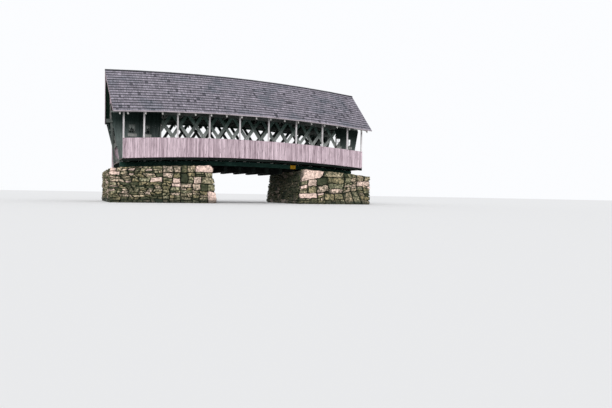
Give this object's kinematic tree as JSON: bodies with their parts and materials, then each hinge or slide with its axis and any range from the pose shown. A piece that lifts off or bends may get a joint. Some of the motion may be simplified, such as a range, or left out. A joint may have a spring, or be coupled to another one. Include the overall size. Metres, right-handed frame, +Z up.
{
  "type": "covered bridge",
  "caption": "Cambered timber covered bridge with lattice trusses, a shingled gable roof and an outside walkway behind a boarded parapet, on rubble stone abutments.",
  "frame": {"origin": "mid-span, on the centre line of the roof, at the level where the abutments meet the water", "axes": "+X along the bridge, to the right in the picture; +Y away from the walkway side; +Z up"},
  "size_m": [22.064, 8.282, 10.6991],
  "materials": {
    "stone": "rough rubble granite, stained near the water",
    "dark_timber": "weathered dark green-grey timber",
    "deck_plank": "worn grey planks",
    "weathered_board": "pale silver-grey weathered boards",
    "shingle": "weathered grey wood shingles",
    "sign_paint": "plain orange enamel"
  },
  "bodies": {
    "root": {"left_abutment": "stone", "right_abutment": "stone", "left_wing_wall": "stone", "right_wing_wall": "stone", "near_truss_lattice": "dark_timber", "far_truss_lattice": "dark_timber", "near_truss_lower_chord": "dark_timber", "near_truss_upper_chord": "dark_timber", "far_truss_lower_chord": "dark_timber", "far_truss_upper_chord": "dark_timber", "near_truss_end_posts": "dark_timber", "far_truss_end_posts": "dark_timber", "near_panel_girts": "dark_timber", "far_panel_girts": "dark_timber", "near_left_panel": "dark_timber", "near_right_panel": "dark_timber", "far_left_panel": "dark_timber", "far_right_panel": "dark_timber", "window_frames": "dark_timber", "floor_beams": "dark_timber", "bearing_timbers": "dark_timber", "road_stringers": "dark_timber", "far_boarding_rail": "dark_timber", "walkway_plate": "dark_timber", "tie_beams": "dark_timber", "near_rafters": "dark_timber", "far_rafters": "dark_timber", "ridge_board": "dark_timber", "portal_collars": "dark_timber", "walkway_edge_beam": "dark_timber", "walkway_joists": "dark_timber", "road_deck": "deck_plank", "walkway_deck": "deck_plank", "parapet_boarding": "weathered_board", "parapet_rails": "weathered_board", "far_boarding": "weathered_board", "left_gable": "weathered_board", "right_gable": "weathered_board", "walkway_posts": "weathered_board", "rake_boards": "weathered_board", "near_roof": "shingle", "far_roof": "shingle", "ridge_cap": "shingle", "sign_plate": "sign_paint"}
  },
  "joints": []
}
